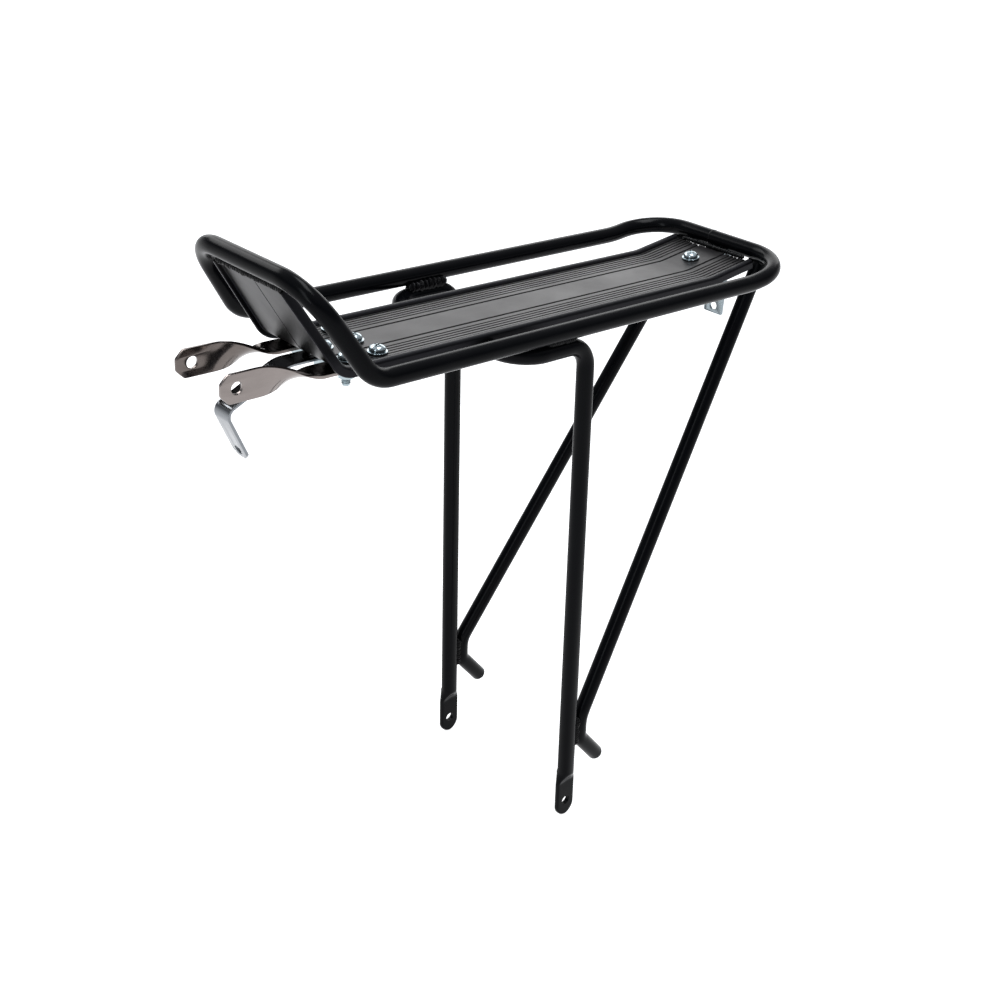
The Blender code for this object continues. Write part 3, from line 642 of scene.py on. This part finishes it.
def strap(side):
    level = DECK_Z - DECK_T - GAP - STRAP_T / 2
    shape = flat_bar([outline(STRAP_WIDTH, STRAP_TAIL_X, STRAP_EYELET_X - STRAP_END, 0.0045), SLOT,
                      slot_hole(STRAP_EYELET_X, STRAP_EYELET_X, EYELET_RADIUS, 40)], STRAP_T)

    def place(x, y, z):
        share = (x - TWIST_START_X) / (TWIST_END_X - TWIST_START_X)
        turn = Matrix.Rotation(-math.pi / 2 * ease(share), 3, "X") @ Vector((0, y, z))
        return Vector((x, side * LANE + turn.y, level + STRAP_RISE * ease(share) + turn.z))

    return form(shape, spaced(TWIST_START_X, TWIST_END_X, 40), place)


# The right strap is the far one and takes the nickel plate with painted shade.
for name, side, look in (("strap_left", -1, NICKEL), ("strap_right", 1, SHADED_NICKEL)):
    stand_in(add(name + "_plated", strap(side), look), name, name)


def bridge():
    level = DECK_Z - DECK_T - GAP - BRIDGE_T / 2
    crease = Vector((BRIDGE_CREASE_X, 0, level - (BRIDGE_SLOPE_X - BRIDGE_CREASE_X) * math.tan(BRIDGE_SLOPE)))
    end = crease + Vector((math.sin(BRIDGE_LEG_BACK), 0, -math.cos(BRIDGE_LEG_BACK))) * BRIDGE_LEG
    points = rounded_path([(STRAP_TAIL_X, 0, level), (BRIDGE_SLOPE_X, 0, level), crease, end], [0, 0.020, 0.0050, 0])
    place, lengths = along(points)
    total = lengths[-1]
    shape = flat_bar([outline(BRIDGE_WIDTH, 0, total, 0.0035), [(STRAP_TAIL_X - x, y) for x, y in SLOT],
                      slot_hole(total - BRIDGE_HOLE_END, total - BRIDGE_HOLE_END, BRIDGE_HOLE_RADIUS)], BRIDGE_T)
    return form(shape, lengths[1:-1], place)


stand_in(add("strap_bridge_plated", bridge(), BRIDGE_PLATE), "strap_bridge", "strap_bridge")


def bracket_bolt():
    rise = (BRACKET_BOLT_X - DECK_BEND_X) * math.tan(DECK_RISE)
    return Vector((BRACKET_BOLT_X, 0, DECK_Z + rise)), Vector((-math.sin(DECK_RISE), 0, math.cos(DECK_RISE)))


def bracket():
    bolt, up = bracket_bolt()
    seat = bolt - up * (DECK_T + GAP + BRACKET_T / 2)
    way = Vector((math.cos(DECK_RISE), 0, math.sin(DECK_RISE)))
    corner = seat + way * ((BRACKET_LEG_X - seat.x) / way.x)
    points = rounded_path([seat - way * BRACKET_TAIL, corner, corner - Vector((0, 0, BRACKET_DROP))],
                          [0, BRACKET_BEND, 0], step=math.radians(7))
    place, lengths = along(points)
    total = lengths[-1]
    shape = flat_bar([outline(BRACKET_WIDTH, 0, total, 0.0007), slot_hole(BRACKET_TAIL, BRACKET_TAIL, BOLT_HOLE_RADIUS),
                      slot_hole(total - BRACKET_HOLE_END, total - BRACKET_HOLE_END, BRACKET_HOLE_RADIUS)], BRACKET_T)
    return form(shape, lengths[1:-1], place)


BRACKET = add("reflector_bracket_plated", bracket(), BRACKET_ZINC)
stand_in(BRACKET, "reflector_bracket", "reflector_bracket")


# ---------------------------------------------------------------- fasteners


def recess_arm(turn):
    """One tapered arm of the cross recess, wider at the top of the head than at its floor."""
    shape = bmesh.new()
    bmesh.ops.create_cube(shape, size=1)
    for vertex in shape.verts:
        wide = 1.15 if vertex.co.z > 0 else 0.62
        vertex.co = Vector((vertex.co.x * 0.0047 * wide, vertex.co.y * 0.0010 * wide, vertex.co.z * 0.0024 + 0.0022))
    shape.transform(Matrix.Rotation(turn, 4, "Z"))
    return shape


def bolt_mesh(shank):
    """A pan head with a cross recess over a shank whose lower end is threaded."""
    head = [(0, HEAD_HEIGHT), (0.0013, 0.00277), (0.0024, 0.00262), (0.0034, 0.00228), (0.0041, 0.00172),
            (0.00442, 0.00105), (0.0045, 0.0005), (0.00442, 0.00008), (0.0043, 0), (BOLT_RADIUS, 0)]
    thread = []
    depth = THREAD_START
    while depth < shank - 0.0007:
        thread += [(BOLT_RADIUS, -depth), (BOLT_RADIUS, -depth - 0.0001), (0.00206, -depth - 0.00042),
                   (0.00206, -depth - 0.00048)]
        depth += THREAD_PITCH
    end = [(0.0021, -shank + 0.0003), (0.0018, -shank), (0, -shank)]
    return boolean(lathe(head + thread + end, 48), [recess_arm(0), recess_arm(math.pi / 2)])


def nut_mesh():
    hexagon = lathe([(0, 0.002), (0.0046188, 0.002), (0.0046188, -0.002), (0, -0.002)], 6)
    barrel = lathe([(0, 0.0021), (0.0037, 0.0021), (0.00395, 0.0020), (0.0048, 0.0015), (0.0048, -0.0015),
                    (0.00395, -0.0020), (0.0037, -0.0021), (0, -0.0021)], 60)
    shape = boolean(hexagon, [barrel], "INTERSECT")
    return boolean(shape, [lathe([(0, 0.003), (0.0030, 0.003), (0.0027, 0.0014), (0.0027, -0.0014), (0.0030, -0.003),
                                  (0, -0.003)], 32)])


def washer_mesh():
    inner, outer, half = 0.0027, WASHER_RADIUS, WASHER_T / 2
    edge = 0.00016
    return lathe([(inner, half - edge), (inner + edge, half), (outer - edge, half),
                  (outer - edge * 0.3, half - edge * 0.3), (outer, half - edge), (outer, edge - half),
                  (outer - edge, -half), (inner + edge, -half), (inner, edge - half)], 48)


def shared(name, shape, sharp):
    """A mesh that several pieces use, with its material and slot but no object of its own."""
    holder = add(name, shape, ZINC, sharp)
    mesh = holder.data
    bpy.data.objects.remove(holder, do_unlink=True)
    return mesh


WASHER = shared("washer", washer_mesh(), 40)
NUT = shared("nut", nut_mesh(), 30)
HEAD_SIDE = GAP + WASHER_T + GAP


def fasten(name, place, up, clamped, spin):
    """A bolt, two washers and a nut through plates of this total thickness, from the top face down."""
    turn = up.to_track_quat("Z", "X").to_matrix().to_4x4()
    low = clamped + GAP + WASHER_T
    nut_low = low + GAP + NUT_HEIGHT
    bolt = shared("bolt_" + name, bolt_mesh(HEAD_SIDE + nut_low + BOLT_END), 32)
    pieces = (("bolt_", bolt, HEAD_SIDE), ("top_washer_", WASHER, GAP + WASHER_T / 2),
              ("low_washer_", WASHER, WASHER_T / 2 - low), ("nut_", NUT, NUT_HEIGHT / 2 - nut_low))
    for part, (prefix, mesh, height) in enumerate(pieces):
        made = bpy.data.objects.new(prefix + name + "_plated", mesh)
        bpy.context.scene.collection.objects.link(made)
        own = Matrix.Rotation(spin * (part + 1), 4, "Z")
        made.matrix_world = Matrix.Translation(place + up * height) @ turn @ own
        stand_in(made, prefix + name)


SPINS = iter((0.35, 1.9, 0.8, 2.6, 1.2, 0.1))
for row, x in zip(("rear", "front"), ROW_X):
    for lane, y, thick in (("left", -LANE, STRAP_T), ("centre", 0.0, BRIDGE_T), ("right", LANE, STRAP_T)):
        fasten(f"{lane}_{row}", Vector((x, y, DECK_Z)), Vector((0, 0, 1)), DECK_T + GAP + thick, next(SPINS))
fasten("reflector", *bracket_bolt(), DECK_T + GAP + BRACKET_T, 0.62)


# ---------------------------------------------------------------- welds

RUN = Vector((-math.cos(LEAN), 0, math.sin(LEAN)))
FACE = Vector((-math.sin(LEAN), 0, -math.cos(LEAN)))
SEAM = HOOP_BAR - RUN * (TUBE + 0.0004)
weld("weld_hoop_front", [SEAM + FACE * 0.0030 + Vector((0, y, 0)) for y in spaced(-0.0285, 0.0285, 6)], 0.0019, 3)
weld("weld_hoop_rear", [SEAM - FACE * 0.0006 + Vector((0, y, 0)) for y in spaced(-0.0265, 0.0265, 6)], 0.0017, 5)
DECK_END = deck_path()[0]
line = [DECK_END + Vector((0.0012, y, 0.0010)) for y in spaced(-0.0255, 0.0255, 6)]
weld("weld_deck_rear_top", line, 0.0015, 11)
# The beads under the deck's end stop short of the sweep of the reflector bracket.
for name, side in (("left", -1), ("right", 1)):
    line = [DECK_END + Vector((0.0012, side * y, -0.0014)) for y in spaced(0.0222, 0.0262, 3)]
    weld(f"weld_deck_rear_low_{name}", line, 0.0015, 12 + side)
for name, side in (("left", -1), ("right", 1)):
    rail = RAIL_Z - 0.0052
    inner = [(x, side * 0.0530, rail + 0.0004) for x in spaced(-0.0550, -0.0270, 5)]
    weld(f"weld_rail_{name}_inner", inner, 0.0031, 21 + side, pitch=0.0031, ripple=0.46, slant=0.0011)
    outer = [(x, side * 0.0578, rail) for x in spaced(-0.0490, -0.0280, 4)]
    weld(f"weld_rail_{name}_outer", outer, 0.0019, 24 + side)
    top, join = stay_corners(side)[:2]
    for row, dy in enumerate((-STAY_BEAD_Y, STAY_BEAD_Y)):
        behind = Vector((0.0052, dy * 0.62, 0))
        start, end = leg_point(side, 0.0640) + behind, leg_point(side, 0.0430) + behind
        weld(f"weld_stay_low_{name}_{row}", [start, end], 0.0022, 31 + row + side)
    way = (top - join).normalized()
    rearward = Vector((0, 1, 0)).cross(way).normalized()
    bar = top - rearward * (TUBE + STAY_EDGE_BEHIND_BAR) + way * 0.0055
    for row, dy in enumerate((-STAY_BEAD_Y, STAY_BEAD_Y)):
        beside = bar + Vector((0, dy, 0))
        line = [beside + rearward * 0.0004 - way * 0.0053, beside + rearward * 0.0038 - way * 0.0050]
        weld(f"weld_stay_top_{name}_{row}", line, 0.0016, 41 + row + side)
    line = [bar + Vector((0, dy, 0)) + rearward * 0.0033 - way * 0.0049 for dy in (-0.0044, 0.0044)]
    weld(f"weld_stay_top_{name}_rear", line, 0.0015, 47 + side)


def ring_seam():
    """The butt joint of the frame tube, ground nearly flush in the middle of the rear crossbar."""
    shape = lathe([(TUBE - 0.0006, 0.0006), (TUBE + 0.00003, 0.0005), (TUBE + 0.00014, 0.00015),
                   (TUBE + 0.00014, -0.00015), (TUBE + 0.00003, -0.0005), (TUBE - 0.0006, -0.0006)], 64)
    shape.transform(Matrix.Translation(REAR_BAR + Vector((0, 0.006, 0))) @ Matrix.Rotation(math.pi / 2, 4, "X"))
    return shape


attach(add("crossbar_seam", ring_seam(), BEAD, sharp=80), "carrier")


# ---------------------------------------------------------------- studio


def camera():
    turn, rise, roll = math.radians(-43.87), math.radians(26.43), math.radians(4.07)
    back = Vector((math.sin(turn) * math.cos(rise), -math.cos(turn) * math.cos(rise), math.sin(rise)))
    right = Vector((math.cos(turn), math.sin(turn), 0))
    up = back.cross(right)
    tilted_right = right * math.cos(roll) + up * math.sin(roll)
    tilted_up = up * math.cos(roll) - right * math.sin(roll)
    data = bpy.data.cameras.new("camera")
    data.sensor_width = 36
    data.lens = 52.445
    data.clip_start, data.clip_end = 0.05, 120
    made = bpy.data.objects.new("camera", data)
    facing = Matrix((tilted_right, tilted_up, back)).transposed().to_4x4()
    made.matrix_world = Matrix.Translation((-0.56466, -0.56601, 0.58829)) @ facing
    bpy.context.scene.collection.objects.link(made)
    bpy.context.scene.camera = made


def lamp(name, place, size, power, target=(0, 0, 0.2), colour=(1, 1, 1)):
    data = bpy.data.lights.new(name, "AREA")
    data.shape = "RECTANGLE"
    data.size, data.size_y = size
    data.energy = power
    data.color = colour
    made = bpy.data.objects.new(name, data)
    made.location = place
    made.rotation_mode = "QUATERNION"
    made.rotation_quaternion = (Vector(place) - Vector(target)).to_track_quat("Z", "Y")
    bpy.context.scene.collection.objects.link(made)


def floor():
    shape = bmesh.new()
    bmesh.ops.create_grid(shape, x_segments=1, y_segments=1, size=40)
    shape.transform(Matrix.Translation((0, 0, -0.0112)))
    mesh = bpy.data.meshes.new("floor")
    shape.to_mesh(mesh)
    shape.free()
    made = bpy.data.objects.new("floor", mesh)
    look = bpy.data.materials.new("pale_floor")
    look.use_nodes = True
    shader = look.node_tree.nodes["Principled BSDF"]
    shader.inputs["Base Color"].default_value = (0.50, 0.50, 0.505, 1)
    shader.inputs["Roughness"].default_value = 0.9
    shader.inputs["Specular IOR Level"].default_value = 0.05
    shader.inputs["Emission Color"].default_value = (1, 1, 1, 1)
    shader.inputs["Emission Strength"].default_value = 0.82
    mesh.materials.append(look)
    bpy.context.scene.collection.objects.link(made)


def sky():
    """Soft light from all round, bright overhead, dimmer lower down and pale again at the horizon."""
    world = bpy.data.worlds.new("studio")
    world.use_nodes = True
    nodes, links = world.node_tree.nodes, world.node_tree.links
    place = nodes.new("ShaderNodeTexCoord")
    split = nodes.new("ShaderNodeSeparateXYZ")
    links.new(place.outputs["Generated"], split.inputs["Vector"])
    ramp = nodes.new("ShaderNodeValToRGB")
    ramp.color_ramp.elements[0].position = 0.0
    ramp.color_ramp.elements[0].color = (1.0, 1.0, 1.0, 1)
    ramp.color_ramp.elements[1].position = 0.80
    ramp.color_ramp.elements[1].color = (0.72, 0.74, 0.78, 1)
    for height, level in ((0.10, 0.70), (0.30, 0.22)):
        ramp.color_ramp.elements.new(height).color = (level, level * 1.03, level * 1.08, 1)
    links.new(split.outputs["Z"], ramp.inputs["Fac"])
    links.new(ramp.outputs["Color"], nodes["Background"].inputs["Color"])
    nodes["Background"].inputs["Strength"].default_value = 1.0
    bpy.context.scene.world = world


camera()
floor()
sky()
lamp("overhead", (0.15, -0.1, 1.7), (1.2, 0.4), 17, colour=(0.95, 0.97, 1.0))
lamp("back_panel", (1.6, 1.7, 1.25), (3.6, 1.1), 31, target=(0.0, 0.0, 0.33))
lamp("side_panel", (-0.35, 1.60, 1.60), (1.4, 0.7), 17, target=(-0.2, 0.0, 0.3))
lamp("left_window", (-1.5, -0.6, 0.9), (0.3, 1.2), 6, colour=(0.90, 0.96, 1.0))
bpy.context.scene.view_settings.view_transform = "Standard"
